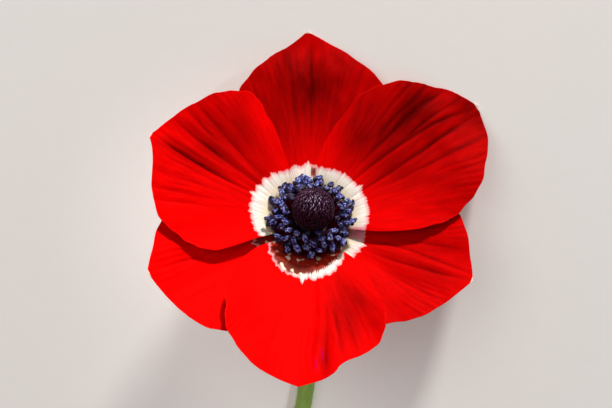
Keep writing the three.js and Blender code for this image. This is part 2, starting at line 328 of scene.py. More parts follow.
# The tint tells the collar, the filaments and the anthers apart, and an anther's furrows from its lobes. On
# an anther it is low, as painted shade, in the furrows, towards the ends, underneath and on the lower
# stamens, and high, as a painted highlight, on the upper lobes
FILAMENT_TINT = -0.5
COLLAR_TINT = -1.0
# Painted shade on the lower stamens that stand between the others
MORE_STAMENS_SHADE = 0.25

# The pistil head: where the dome starts, in quarter turns from its widest ring, and the styles on it
DOME_START = -0.92
DOME_ROWS, DOME_SIDES = 40, 72
DOME_SUNK = 0.62
STYLES = 900
STYLE_RADII = [0.08, 0.12, 0.11, 0.09, 0.04]
STYLE_RUN = (-0.5, -0.25, 0.2, 0.6, 1)  # its points before and behind its root, in lengths
STYLE_SIDES = 6
COMBED_TOWARDS = 255
HIGHLIGHT_ANGLE, HIGHLIGHT_COMPASS = 78, 40  # where the painted highlight on the styles is brightest, up from the widest ring

# The stem and its hairs
STEM_SIDES = 48
NECK_POINTS, LYING_POINTS = 90, 150
NECK_SWELL = 1.1  # the run over which the stem narrows below the receptacle
LIT_POINT = 90  # where the stem's own light aims, counted from the cut end
# The cut end's rings: the share of the stem's radius, and how far each stands out
CUT_END = ((0.95, 0.06), (0.9, 0.0), (0.6, -0.1), (0.25, -0.25), (0.02, -0.25))
CUT_RINGS = 4  # the last ones, which show the pith
HIDDEN_RINGS = 4  # the first ones, inside the flower, painted dark as shade
HAIRS = 5200
HAIR_RADIUS = 0.022
HAIR_ROOT = 0.06
OFF_HAIRS = (0.3, 0.5, 0.81)  # a direction that no hair follows

# The photograph's view: its camera stands off the flower's axis by VIEW_TILT, towards VIEW_COMPASS
VIEW_TILT = 25
VIEW_COMPASS = 75
VIEW_DISTANCE = 450
MM_PER_PIXEL = 0.2
FRAME_PIXELS = (612, 408)
BASE_PIXEL = (308, 228)  # where the middle of the flower's base is in the photograph
SENSOR_WIDTH = 36

# The stage, in metres
FLOOR_HALF = 3.0
SPOT_DISTANCE = 0.6

# Linear colours of the petals
BRIGHT_RED = (0.96, 0, 0)
DEEP_RED = (0.79, 0, 0)
VEIN_RED = (0.5, 0, 0)
FINE_VEIN_RED = (0.98, 0, 0)
GRAIN_RED = (0.45, 0, 0)
# Painted shade on the blade
PAINTED_SHADE_RED = (0.13, 0, 0)
# Painted sheen, a reflection in streaks along the creases
SHEEN_STREAK_MAGENTA = (0.4, 0, 0.07)
# A painted highlight along the margins
RIM_HIGHLIGHT_RED = (0.95, 0.02, 0.015)
PALE_TIP = (0.85, 0.7, 0.62)
HEART_WHITE = (1.0, 0.93, 0.86)
HEART_VEINS = (0.64, 0.42, 0.41)
HEART_CREAM = (0.95, 0.8, 0.54)
# A painted shadow, lit rosy through the red petals
HEART_ROSY_SHADOW = (1.0, 0.34, 0.42)
HEART_FRINGE = (0.9, 0.4, 0.42)
# A painted shadow of the stamens, red-brown within and dark brown outwards
SHADOW_RED_BROWN = (0.42, 0.02, 0.01)
SHADOW_DARK_BROWN = (0.23, 0.034, 0.022)
# Painted flecks of light in the painted shadow of the stamens
PAINTED_LIGHT_FLECKS = (1.0, 0.8, 0.6)
# Painted shade at the claws, under the crowded stamens
CLAW_PAINTED_SHADE = (0.07, 0.004, 0.01)
BACK_RED = (0.66, 0.022, 0.015)
BACK_VEINS = (0.46, 0.006, 0.006)
BACK_PALE = (0.62, 0.42, 0.3)
BACK_PALE_VEINS = (0.45, 0.2, 0.16)

# Linear colours of the stamens and the pistil head
FILAMENT_RED = (0.25, 0.004, 0.02)
FILAMENT_DARK = (0.07, 0.003, 0.015)
# The collar is painted dark, as shade
COLLAR_SHADE = (0.02, 0.001, 0.006)
# The anthers' painted shade
ANTHER_SHADE_DARK = (0.012, 0.001, 0.01)
ANTHER_SHADE_BLUE = (0.008, 0.006, 0.05)
LOBE_BLUE = (0.02, 0.023, 0.26)
# A painted highlight on the anthers' lobes
LOBE_HIGHLIGHT = (0.32, 0.395, 0.83)
PISTIL_BLACK = (0.006, 0.001, 0.006)
PISTIL_DARK = (0.014, 0.003, 0.014)
PISTIL_VIOLET = (0.07, 0.014, 0.048)
# A painted highlight on the styles
PISTIL_HIGHLIGHT = (0.44, 0.36, 0.54)

# Linear colours of the stem, its hairs and the floor
STEM_GREEN = (0.22, 0.42, 0.06)
STEM_LIGHT_GREEN = (0.32, 0.54, 0.1)
STEM_GRAIN = (0.42, 0.52, 0.2)
STEM_BLUSH = (0.16, 0.06, 0.035)
STEM_PITH = (0.42, 0.5, 0.2)
STEM_PALE_PITH = (0.6, 0.66, 0.36)
# Painted shade on the receptacle inside the flower
STEM_INSIDE_SHADE = (0.01, 0.003, 0.012)
HAIR_GREY = (0.5, 0.52, 0.4)
HAIR_WHITE = (0.75, 0.74, 0.66)
FLOOR_GREY = (0.85, 0.84, 0.825)
FLOOR_WHITE = (0.88, 0.87, 0.855)


def lerp(a, b, t):
    return a + (b - a) * t


def smoothstep(x, low, high):
    q = np.clip((x - low) / (high - low), 0, 1)
    return q * q * (3 - 2 * q)


def bell(x, middle, spread):
    """A smooth bump of height 1 round middle."""
    return np.exp(-(((x - middle) / spread) ** 2))


def unit(vectors):
    """A vector, or each row of several, at length 1."""
    return vectors / np.linalg.norm(vectors, axis=-1, keepdims=True)


def drawn(low, high, i, salt):
    """A repeatable draw between low and high for the i-th piece. Each use has a salt of its own."""
    wave = np.sin(i * 12.9898 + salt * 78.233) * 43758.5453
    return lerp(low, high, wave - np.floor(wave))


def on_flower(compass, radius, height):
    angle = np.radians(compass)
    return np.array([radius * np.cos(angle), radius * np.sin(angle), height])


def through(xs, ys, x):
    """A smooth curve through the points (xs, ys), read at each of x."""
    xs, ys = np.array(xs, float), np.array(ys, float)
    last = len(xs) - 1
    before = np.maximum(np.arange(len(xs)) - 1, 0)
    after = np.minimum(np.arange(len(xs)) + 1, last)
    slopes = (ys[after] - ys[before]) / (xs[after] - xs[before])
    i = np.clip(np.searchsorted(xs, x) - 1, 0, last - 1)
    step = xs[i + 1] - xs[i]
    q = (x - xs[i]) / step
    start = 1 - q * q * (3 - 2 * q)
    bend = slopes[i] * step * q * (1 - q) ** 2 - slopes[i + 1] * step * q * q * (1 - q)
    return ys[i] * start + ys[i + 1] * (1 - start) + bend


LEAN_AXIS = Vector(on_flower(LEAN_TOWARDS + 90, 1, 0))
HEAD = Matrix.Translation(SEAT) @ Quaternion(LEAN_AXIS, math.radians(LEAN)).to_matrix().to_4x4()


def to_part(points):
    """Points of the flower's own space, in millimetres, as points of the part's frame."""
    turn = np.array(HEAD.to_3x3())
    return np.asarray(points) @ turn.T + np.array(HEAD.translation)


def linked(name, data):
    """A new object in the scene. Its data is a mesh, a camera or a light."""
    thing = bpy.data.objects.new(name, data)
    bpy.context.scene.collection.objects.link(thing)
    return thing


def new_object(name, points, faces, materials, replaced=(), values=None, face_materials=None):
    """A piece in the part's frame, from points in millimetres, with the float attributes in values."""
    mesh = bpy.data.meshes.new(name)
    mesh.from_pydata((np.asarray(points) * MM).tolist(), [], [list(face) for face in faces])
    for key, numbers in (values or {}).items():
        attribute = mesh.attributes.new(key, "FLOAT", "POINT")
        attribute.data.foreach_set("value", np.asarray(numbers, np.float32).ravel())
    for material in materials:
        mesh.materials.append(material)
    if face_materials is not None:
        mesh.polygons.foreach_set("material_index", np.asarray(face_materials, np.int32))
    mesh.polygons.foreach_set("use_smooth", np.ones(len(mesh.polygons), bool))
    mesh.update()
    piece = linked(name, mesh)
    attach(piece, "root")
    if replaced:
        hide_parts(*replaced)


def ring_faces(rings, sides, closed=False):
    """Quads between rings of points that follow each other. If closed, the last is joined to the first."""
    faces = []
    for ring in range(rings if closed else rings - 1):
        below = ring * sides
        above = (ring + 1) % rings * sides
        for k in range(sides):
            after = (k + 1) % sides
            faces.append([below + k, below + after, above + after, above + k])
    return faces


def end_faces(rings, sides):
    """The faces that close the first and the last of several rings."""
    first = list(range(sides))[::-1]
    last = [(rings - 1) * sides + k for k in range(sides)]
    return [first, last]


def swept(path, ways, side, radii, sides):
    """Rings of points round a path. There is a radius for each ring, or for each point of each ring."""
    angles = np.linspace(0, 2 * math.pi, sides, endpoint=False)
    rings = []
    for centre, way, radius in zip(path, ways, radii):
        side = unit(side - way * (side @ way))
        out = np.cos(angles)[:, None] * side + np.sin(angles)[:, None] * np.cross(way, side)
        rings.append(centre + out * np.reshape(radius, (-1, 1)))
    return rings


def tube(path, radii, sides):
    """A closed tube along path, a list of points, with a radius at each."""
    path = np.array(path, float)
    ways = unit(np.gradient(path, axis=0))
    rings = swept(path, ways, np.cross(ways[0], OFF_PATH), radii, sides)
    return np.concatenate(rings), ring_faces(len(path), sides) + end_faces(len(path), sides)


class Heap:
    """Points, faces and one number for each point, gathered from many small pieces into one mesh."""

    def __init__(self):
        self.points, self.faces, self.tint, self.count = [], [], [], 0

    def add(self, points, faces, tint=0.0):
        self.points.append(points)
        self.faces += [[corner + self.count for corner in face] for face in faces]
        self.tint.append(np.broadcast_to(tint, len(points)))
        self.count += len(points)

    def object(self, name, material, replaced=()):
        values = {"tint": np.concatenate(self.tint)}
        new_object(name, np.concatenate(self.points), self.faces, [material], replaced, values)


class Nodes:
    """A short way to write a material's node tree."""

    def __init__(self, name):
        self.material = bpy.data.materials.new(name)
        self.material.use_nodes = True
        self.tree = self.material.node_tree
        self.shader = self.tree.nodes["Principled BSDF"]

    def put(self, value, socket):
        if isinstance(value, bpy.types.NodeSocket):
            self.tree.links.new(value, socket)
        elif isinstance(value, (tuple, list)) and len(value) == 3 and len(socket.default_value) == 4:
            socket.default_value = (*value, 1)
        else:
            socket.default_value = value

    def set(self, **inputs):
        for name, value in inputs.items():
            self.put(value, self.shader.inputs[name.replace("_", " ")])

    def attribute(self, name):
        node = self.tree.nodes.new("ShaderNodeAttribute")
        node.attribute_name = name
        return node.outputs["Fac"]

    def math(self, operation, a, b, clamp=False):
        node = self.tree.nodes.new("ShaderNodeMath")
        node.operation = operation
        node.use_clamp = clamp
        self.put(a, node.inputs[0])
        self.put(b, node.inputs[1])
        return node.outputs[0]

    def vector(self, x, y):
        node = self.tree.nodes.new("ShaderNodeCombineXYZ")
        self.put(x, node.inputs[0])
        self.put(y, node.inputs[1])
        return node.outputs[0]

    def place(self):
        return self.tree.nodes.new("ShaderNodeNewGeometry").outputs["Position"]

    def noise(self, vector, scale, detail=2.0, roughness=0.5):
        node = self.tree.nodes.new("ShaderNodeTexNoise")
        self.put(vector, node.inputs["Vector"])
        node.inputs["Scale"].default_value = scale
        node.inputs["Detail"].default_value = detail
        node.inputs["Roughness"].default_value = roughness
        return node.outputs["Fac"]

    def between(self, value, low, high, from_value=0.0, to_value=1.0):
        """A smooth way from from_value, where value is low, to to_value, where it is high."""
        node = self.tree.nodes.new("ShaderNodeMapRange")
        node.interpolation_type = "SMOOTHSTEP"
        for entry, socket in zip((value, low, high, from_value, to_value), node.inputs):
            self.put(entry, socket)
        return node.outputs["Result"]

    def mix(self, factor, a, b):
        node = self.tree.nodes.new("ShaderNodeMix")
        node.data_type = "RGBA"
        self.put(factor, node.inputs["Factor"])
        self.put(a, node.inputs[6])
        self.put(b, node.inputs[7])
        return node.outputs[2]

    def bump(self, height, distance, strength):
        node = self.tree.nodes.new("ShaderNodeBump")
        self.put(height, node.inputs["Height"])
        node.inputs["Distance"].default_value = distance
        node.inputs["Strength"].default_value = strength
        return node.outputs["Normal"]


# Petals

def half_width(petal, side, share):
    claw = CLAW_START / petal["length"]
    return through([claw, *WIDTH_STATIONS, 1], [CLAW_HALF_WIDTH, *petal[side], 0], share)


def fan_places(petal, along, across):
    """The radius, the angle from the petal's middle line and the share of its length."""
    return np.hypot(along, across), np.degrees(np.arctan2(across, along)), along / petal["length"]


def bowl(compass, radius):
    """The height of the bowl that the blades form together."""
    total = 0
    weights = 0
    for petal in PETALS:
        weight = np.exp(RISE_BLEND * np.cos(np.radians(compass - petal["points"])))
        total = total + weight * petal["rise"]
        weights = weights + weight
    q = radius / REACH
    return (total / weights) * q * (0.7 + 0.3 * q)


def petal_height(petal, along, across):
    """The height of the solid petal's upper face, as in the model."""
    radius, fan, share = fan_places(petal, along, across)
    height = bowl(petal["points"] + fan, radius)
    if petal["inner"]:
        height += INNER_WHORL + INNER_SPRING * smoothstep(radius, *SPRING_ZONE)
    else:
        height += OUTER_WHORL
    height += petal["cup"] * (across / CUP_HALF_WIDTH) ** 2 * smoothstep(share, *CUP_ZONE)
    height += petal["tip"] * smoothstep(share, *TIP_ZONE)
    for at, depth, spread in petal["folds"]:
        height += depth * bell(fan, at, spread) * smoothstep(share, *FOLD_ZONE)
    ruffle, waves, shift = petal["ruffle"]
    height += ruffle * smoothstep(radius, *RUFFLE_ZONE) * np.sin(np.radians(fan * waves) * 2 + shift)
    return height


def crease_relief(petal, fan, share):
    relief = np.zeros_like(fan)
    for claw_at, tip_at, height, spread, start, full in CREASES[petal["name"]]:
        off = (fan - lerp(claw_at, tip_at, share)) / spread
        section = np.exp(CREASE_ROUNDING - np.hypot(off, CREASE_ROUNDING))
        relief += height * section * smoothstep(share, start, full) * smoothstep(1.02 - share, 0, 0.3)
    return relief


def small_pleat_relief(number, fan, share):
    """Shallow pleats at drawn places, each drifting a little to one side on its way to the margin."""
    relief = np.zeros_like(fan)
    for k in range(SMALL_PLEATS):
        seed = k + 20 * number
        at = drawn(-44, 44, seed, 11) + drawn(-4, 4, seed, 15) * (share - 0.5)
        height = drawn(-0.09, 0.08, seed, 12)
        start = drawn(0.2, 0.5, seed, 14)
        relief += height * bell(fan, at, drawn(0.9, 2.2, seed, 13)) * smoothstep(share, start, start + 0.4)
    return relief


def petal_relief(petal, number, along, across):
    """What the fine surface adds: creases, small pleats, ribs along the veins, and uneven waves."""
    radius, fan, share = fan_places(petal, along, across)
    sway = 1.5 * np.sin(share * 5 + number) + 0.8 * np.sin(share * 11 + 2 * number)
    ribs = np.sin(np.radians(fan * 90 + sway * 40)) + 0.5 * np.sin(np.radians(fan * 151 - sway * 50))
    wavy_pleats = np.sin(np.radians(fan * 150) + 1.6 * np.sin(along * 0.5 + number))
    where = np.sin(fan * 0.16 + 2 * number) * np.sin(along * 0.22 + number) + 0.3
    swell = np.sin(across * 0.42 + along * 0.19 + 1.7 * number)
    swell = swell * np.sin(along * 0.31 - across * 0.13 + number)
    wrinkles = np.sin(along * 1.3 + 1.1 * np.sin(across * 0.5 + number))
    wrinkles = wrinkles * np.sin(across * 0.8 + 2 * number)
    relief = crease_relief(petal, fan, share) + small_pleat_relief(number, fan, share)
    relief += RIB_HEIGHT * ribs * smoothstep(radius, 6, 16)
    relief += WAVY_PLEAT_HEIGHT * wavy_pleats * np.clip(where, 0, 1) * smoothstep(share, 0.45, 0.8)
    relief += SWELL_HEIGHT * swell * smoothstep(radius, 10, 26)
    relief += WRINKLE_HEIGHT * wrinkles * smoothstep(radius, 16, 30)
    return relief


def petal_painted_shade(petal, fan, share):
    """How much painted shade darkens the blade, from 0 to 1: in patches where it turns from the light, and
    along its furrows.
    """
    shade = np.zeros_like(fan)
    for at, middle, strength, spread, length in PAINTED_SHADES[petal["name"]]:
        shade += strength * bell(fan, at, spread) * bell(share, middle, length)
    for claw_at, tip_at, height, spread, start, full in CREASES[petal["name"]]:
        strength = CREASE_PAINTED_SHADE * max(-height, 0) / max(spread, 1)
        fading = smoothstep(share, start, full) * smoothstep(1 - share, 0, 0.25)
        shade += strength * bell(fan, lerp(claw_at, tip_at, share), CREASE_PAINTED_SHADE_SPREAD) * fading
    return np.clip(shade, 0, 1)


def heart_margin(petal, fan):
    """The radius of the white heart on a petal, with one long tooth on the line where it is longest."""
    radius, shorter, longest_at = HEARTS[petal["name"]]
    tooth = TOOTH_LENGTH * bell(fan, longest_at, TOOTH_SPREAD)
    return radius - shorter * ((fan - longest_at) / HEART_FAN) ** 2 + tooth


def petal_heart_shadow(petal, fan, radius):
    """Where the white heart has a painted shadow of the stamens and of the petal above, dark rosy brown,
    from 0 to 1.
    """
    if petal["name"] not in HEART_SHADOWS:
        return np.zeros_like(radius)
    reach, less, past = HEART_SHADOWS[petal["name"]]
    _, _, longest_at = HEARTS[petal["name"]]
    limit = np.minimum(heart_margin(petal, fan) + past, reach - less * (fan - longest_at))
    return smoothstep(limit - radius, -0.6, 0.9)


def heart_patch(patches, petal, fan, radius):
    """How much a petal's white heart has the colour of its painted shadow patch, from 0 to 1, with a flat
    middle.
    """
    if petal["name"] not in patches:
        return np.zeros_like(radius)
    at, middle, spread, length = patches[petal["name"]]
    return np.exp(-(((fan - at) / spread) ** 4) - ((radius - middle) / length) ** 4)


def petal_sheen_streaks(petal, fan, share):
    """Where the blade has a thin magenta streak of painted sheen, from 0 to 1."""
    streaks = np.zeros_like(fan)
    for at, middle, spread, length in SHEEN_STREAKS.get(petal["name"], []):
        streaks += bell(fan, at, spread) * bell(share, middle, length)
    return np.clip(streaks, 0, 1)


def petal_grid(petal, number):
    """Places along and across the petal, out to a finely uneven margin, and how near it each one is."""
    rows = 1 - (1 - np.linspace(0, 1, PETAL_ROWS + 1)) ** ROW_CROWDING
    share = lerp(CLAW_START / petal["length"], 1, rows)[:, None]
    columns = np.sin(np.linspace(-1, 1, PETAL_COLUMNS + 1) * math.pi / 2 * COLUMN_CROWDING)[None, :]
    columns = columns / columns.max()
    left = half_width(petal, "counterclockwise", share)
    right = half_width(petal, "clockwise", share)
    waver = 0.16 * np.sin(share * 31 + number) + 0.1 * np.sin(share * 67 + 2 * number + np.sign(columns))
    waver = waver * smoothstep(share, 0.3, 0.5) * smoothstep(1 - share, 0, 0.08)
    width = np.where(columns > 0, left, right) + waver
    across = columns * np.maximum(width, THINNEST_HALF_WIDTH)
    along = np.broadcast_to(share * petal["length"], across.shape)
    return along, across, np.abs(columns) * np.ones_like(share)


def petal_faces():
    """Quads of the upper face, the back and the rim of a blade whose two grids follow each other."""
    shape = (2, PETAL_ROWS + 1, PETAL_COLUMNS + 1)
    top, back = np.arange(math.prod(shape)).reshape(shape)
    upper = np.stack([top[:-1, :-1], top[1:, :-1], top[1:, 1:], top[:-1, 1:]], -1).reshape(-1, 4)
    under = np.stack([back[:-1, :-1], back[:-1, 1:], back[1:, 1:], back[1:, :-1]], -1).reshape(-1, 4)
    loops = []
    for grid in (top, back):
        loops.append(np.concatenate([grid[:-1, 0], grid[-1, :-1], grid[:0:-1, -1], grid[0, :0:-1]]))
    rim = np.stack([loops[0], loops[1], np.roll(loops[1], -1), np.roll(loops[0], -1)], -1)
    return upper, under, rim


def make_petal(petal, number, materials):
    along, across, side = petal_grid(petal, number)
    radius, fan, share = fan_places(petal, along, across)
    upper = petal_height(petal, along, across) + petal_relief(petal, number, along, across) - SUNK
    edge = np.maximum(side, smoothstep(share, 0.7, 1)) ** 8
    under = upper - lerp(FINE_THICKNESS, 0.5 * FINE_THICKNESS, edge)
    angle = math.radians(petal["points"])
    x = along * math.cos(angle) - across * math.sin(angle)
    y = along * math.sin(angle) + across * math.cos(angle)
    points = to_part(np.concatenate([np.stack([x, y, z], -1).reshape(-1, 3) for z in (upper, under)]))
    points[:, 2] = np.maximum(points[:, 2], LOWEST)
    faces = petal_faces()
    values = {
        "fan": fan + 100 * number,
        "radius": radius,
        "heart": radius - heart_margin(petal, fan),
        # where the painted highlight along the margin lies
        "rim": smoothstep(side, 0.982, 0.997) * smoothstep(share, 0.4, 0.6),
        "tip": smoothstep(share, 0.982, 0.992) * (petal["name"] != "petal_bottom"),
        "heart_shadow": petal_heart_shadow(petal, fan, radius) + heart_patch(BROWN_SHADOW_PATCHES, petal, fan, radius),
        "rosy_shadow": heart_patch(ROSY_SHADOW_PATCHES, petal, fan, radius),
        "sheen_streak": petal_sheen_streaks(petal, fan, share),
        "shade": petal_painted_shade(petal, fan, share),
    }
    new_object(
        petal["name"] + "_fine",
        points,
        np.concatenate(faces),
        materials,
        replaced=[petal["name"]],
        values={key: np.tile(numbers.ravel(), 2) for key, numbers in values.items()},
        face_materials=np.repeat([0, 1, 0], [len(part) for part in faces]),
    )


def vein_noise(n, stretch, scale, detail, roughness=0.5):
    """Noise drawn out along the veins. The less the stretch, the slower it changes with the radius."""
    place = n.vector(n.attribute("fan"), n.math("MULTIPLY", n.attribute("radius"), stretch))
    return n.noise(place, scale, detail, roughness)


def petal_veins(n):
    return vein_noise(n, 0.035, 1.6, 3, 0.6)


def petal_red(n, veins, grain):
    """The red of the blade, clouded, veined and grainy, then its painted shade in patches and along
    furrows, and its streaks of painted sheen.
    """
    clouds = vein_noise(n, 0.4, 0.4, 4, 0.6)
    red = n.mix(n.between(clouds, 0.3, 0.7), DEEP_RED, BRIGHT_RED)
    red = n.mix(n.between(veins, 0.4, 0.7, 0, 0.11), red, VEIN_RED)
    red = n.mix(n.between(vein_noise(n, 0.02, 5, 2), 0.5, 0.75, 0, 0.06), red, FINE_VEIN_RED)
    red = n.mix(n.between(grain, 0.35, 0.65, 0, 0.1), red, GRAIN_RED)
    # painted shade, made uneven by the clouds
    uneven = n.between(clouds, 0.3, 0.7, 1.09, 0.91)
    red = n.mix(n.math("MULTIPLY", n.attribute("shade"), uneven, clamp=True), red, PAINTED_SHADE_RED)
    # streaks of painted sheen
    return n.mix(n.math("MULTIPLY", n.attribute("sheen_streak"), 0.8), red, SHEEN_STREAK_MAGENTA)


def heart_white(n, veins):
    """The white heart: cream inwards, with painted shadows, rosy ones and brown ones flecked with painted
    light, and painted shade at the claws.
    """
    radius = n.attribute("radius")
    white = n.mix(n.between(veins, 0.47, 0.7), HEART_WHITE, HEART_VEINS)
    white = n.mix(n.between(radius, 8.6, 10.8, 0.7, 0), white, HEART_CREAM)
    # painted shadow, rosy from light through the red petals
    white = n.mix(n.attribute("rosy_shadow"), white, HEART_ROSY_SHADOW)
    # painted flecks of light, where it falls between the stamens
    light_flecks = n.between(n.noise(n.place(), 760.0, 0), 0.64, 0.7)
    # painted shadow of the stamens, red-brown within and dark brown outwards
    shadow_brown = n.mix(n.between(radius, 9.8, 11.4), SHADOW_RED_BROWN, SHADOW_DARK_BROWN)
    shadow_brown = n.mix(light_flecks, shadow_brown, PAINTED_LIGHT_FLECKS)
    # the painted shadow's edge is drawn out along the veins
    drawn_out = n.math("ADD", n.attribute("heart_shadow"), n.between(veins, 0.35, 0.65, -0.35, 0.35))
    white = n.mix(n.between(drawn_out, 0.3, 0.7), white, shadow_brown)
    # painted shade at the claws, under the crowded stamens
    return n.mix(n.between(radius, 7.2, 9, 1, 0), white, CLAW_PAINTED_SHADE)


def past_heart(n):
    """How far past the white heart a point is: its margin is drawn out into large and small teeth."""
    past = n.attribute("heart")
    for row, scale, detail, length in ((0.0, 0.2, 0, 1.3), (9.0, 0.55, 1, 1.05)):
        teeth = n.noise(n.vector(n.attribute("fan"), row), scale, detail)
        past = n.math("ADD", past, n.math("MULTIPLY", n.math("SUBTRACT", teeth, 0.5), length))
    return past


def petal_front_material():
    n = Nodes("petal_front")
    veins = petal_veins(n)
    grain = n.noise(n.place(), 2600.0, 2)
    past = past_heart(n)
    heart = n.mix(n.between(past, -0.9, 0), heart_white(n, veins), HEART_FRINGE)
    colour = n.mix(n.between(past, -0.12, 0.2), heart, petal_red(n, veins, grain))
    # painted highlight along the margin
    colour = n.mix(n.between(n.attribute("rim"), 0, 1, 0, 0.2), colour, RIM_HIGHLIGHT_RED)
    colour = n.mix(n.between(n.attribute("tip"), 0.6, 0.95, 0, 0.85), colour, PALE_TIP)
    height = n.math("ADD", n.math("MULTIPLY", veins, 0.6), n.math("MULTIPLY", grain, 0.4))
    n.set(Base_Color=colour, Roughness=0.6, Specular_IOR_Level=0.01, Normal=n.bump(height, 0.00006, 0.7))
    n.set(Subsurface_Weight=0.35, Subsurface_Radius=(1.0, 0.2, 0.15), Subsurface_Scale=0.0002)
    return n.material


def petal_back_material():
    n = Nodes("petal_back")
    veins = petal_veins(n)
    red = n.mix(n.between(veins, 0.35, 0.7), BACK_RED, BACK_VEINS)
    pale = n.mix(n.between(veins, 0.4, 0.7), BACK_PALE, BACK_PALE_VEINS)
    colour = n.mix(n.between(n.attribute("heart"), -4.0, 1.5), pale, red)
    n.set(Base_Color=colour, Roughness=0.6, Specular_IOR_Level=0.2, Normal=n.bump(veins, 0.00012, 0.6))
    n.set(Subsurface_Weight=0.25, Subsurface_Radius=(1.0, 0.25, 0.2), Subsurface_Scale=0.0006)
    n.set(Sheen_Weight=0.06, Sheen_Roughness=0.4)
    return n.material


# Stamens

def curve_points(start, pull, end, count):
    t = np.linspace(0, 1, count)[:, None]
    return (1 - t) ** 2 * start + 2 * t * (1 - t) * pull + t * t * end


def turned(points, axis, degrees):
    return points @ np.array(Matrix.Rotation(math.radians(degrees), 3, axis)).T


def anther_shape(i):
    """The points and tints of a bean of two lobes, with a furrow along its upper and lower sides. The tint
    is low, as painted shade, in the furrows, towards the ends and underneath, and high, as a painted
    highlight, on the upper lobes.
    """
    size = drawn(0.8, 1.3, i, 6)
    stout = drawn(0.7, 1.1, i, 9)
    bend = drawn(-0.15, 0.35, i, 7)
    phase = drawn(0, 6, i, 8)
    along = -np.cos(np.linspace(0, math.pi, ANTHER_ROWS + 1))[:, None]
    angle = np.linspace(0, 2 * math.pi, ANTHER_SIDES, endpoint=False)[None, :]
    swell = np.sqrt(np.maximum(1 - along**2, 0)) ** 0.75
    skin = 1 - FURROW_DEPTH * bell(np.cos(angle), 0, FURROW_SPREAD) * swell
    skin += 0.1 * np.sin(6 * along + 2 * angle + phase)
    skin += 0.07 * np.sin(11 * along - 3 * angle + phase)
    x = along * ANTHER_LENGTH * size / 2 * np.ones_like(skin)
    y = np.cos(angle) * ANTHER_WIDTH * stout / 2 * swell * skin
    z = np.sin(angle) * ANTHER_DEPTH * stout / 2 * swell * skin + bend * (along**2 - 0.4)
    # painted shade in the furrows, towards the ends and underneath, painted light on top
    tint = skin * swell * (0.85 + 0.2 * np.sin(angle))
    return np.stack([x, y, z], -1).reshape(-1, 3), tint.ravel()


def stamen_place(i):
    """Compass, ring and height of an anther. The first ones stand as in the model."""
    if i < STAMENS:
        share = (i + 0.5) / STAMENS
        ring = lerp(*ANTHER_RINGS, share) + drawn(-0.2, 0.2, i, 1)
        height = lerp(*ANTHER_HEIGHTS, share) + drawn(-0.5, 0.5, i, 2)
    else:
        share = (i - STAMENS + 0.5) / MORE_STAMENS
        ring = lerp(*MORE_RINGS, share) + drawn(-0.25, 0.3, i, 1)
        height = lerp(*MORE_HEIGHTS, share**0.7) + drawn(-0.7, 0.5, i, 2)
    return i * GOLDEN_ANGLE, ring, height


def add_stamen(heap, i):
    compass, ring, height = stamen_place(i)
    root = on_flower(compass, COLLAR_RADIUS - 0.6, COLLAR_TOP - 0.5)
    end = on_flower(compass + drawn(-4, 4, i, 3), ring, height)
    pull = lerp(root, end, 0.5) + on_flower(compass, 0.5, -0.5)
    path = to_part(curve_points(root, pull, end, FILAMENT_POINTS))
    radii = np.linspace(*FILAMENT_RADII, FILAMENT_POINTS)
    heap.add(*tube(path, radii, FILAMENT_SIDES), FILAMENT_TINT)
    points, tint = anther_shape(i)
    points = turned(points, "Z", drawn(-75, 75, i, 4))
    points = turned(points, "Y", drawn(-10, 35, i, 5))
    points = turned(points, "Z", compass) + end
    tint = tint + drawn(-0.1, 0.1, i, 10)
    # painted shade on the lower stamens between the others
    if i >= STAMENS:
        tint = tint - MORE_STAMENS_SHADE
    heap.add(to_part(points), ring_faces(ANTHER_ROWS + 1, ANTHER_SIDES), tint)


def add_collar(heap):
    """The ring that the stamens grow from."""
    inner, outer = POST_RADIUS + CLEARANCE, COLLAR_RADIUS
    profile = [(inner, COLLAR_FOOT), (outer, COLLAR_FOOT), (outer, COLLAR_TOP - 0.3), (inner, COLLAR_TOP)]
    compasses = np.linspace(0, 360, COLLAR_SIDES, endpoint=False)
    points = [on_flower(compass, radius, height) for radius, height in profile for compass in compasses]
    heap.add(to_part(points), ring_faces(len(profile), COLLAR_SIDES, closed=True), COLLAR_TINT)


def make_stamens(material):
    heap = Heap()
    for i in range(STAMENS + MORE_STAMENS):
        add_stamen(heap, i)
    add_collar(heap)
    heap.object("stamens_fine", material, ["stamens"])


def stamen_material():
    n = Nodes("stamen")
    tint = n.attribute("tint")
    grain = n.noise(n.place(), 2600.0, 3)
    patch = n.noise(n.place(), 700.0, 2)
    filament = n.mix(patch, FILAMENT_RED, FILAMENT_DARK)
    # painted shade in the furrows, at the ends, underneath and on the lower stamens
    anther_shade = n.mix(n.between(patch, 0.4, 0.6), ANTHER_SHADE_DARK, ANTHER_SHADE_BLUE)
    # painted highlights in patches on the upper lobes
    lobe = n.mix(n.between(grain, 0.45, 0.6), LOBE_BLUE, LOBE_HIGHLIGHT)
    anther = n.mix(n.between(tint, 0.7, 1.05), anther_shade, lobe)
    # the collar is painted dark, as shade
    colour = n.mix(n.between(tint, -0.9, -0.6), COLLAR_SHADE, filament)
    colour = n.mix(n.between(tint, -0.4, -0.1), colour, anther)
    n.set(Base_Color=colour, Roughness=0.42, Specular_IOR_Level=0.2, Normal=n.bump(grain, 0.0001, 1.0))
    return n.material


# Pistil head

def dome_point(way, swell):
    """The point of the dome in direction way from its middle, standing off the solid's dome by swell."""
    middle = (PISTIL_FOOT + PISTIL_TOP) / 2
    low = (middle - PISTIL_FOOT) / math.sin(-DOME_START * math.pi / 2)
    half = low if way[2] < 0 else PISTIL_TOP - middle
    radius = PISTIL_RADIUS + swell
    return np.array([radius * way[0], radius * way[1], middle + (half + swell) * way[2]])


def dome_way(angle, compass):
    """The direction at an angle above the dome's widest ring."""
    return on_flower(compass, math.cos(angle), math.sin(angle))


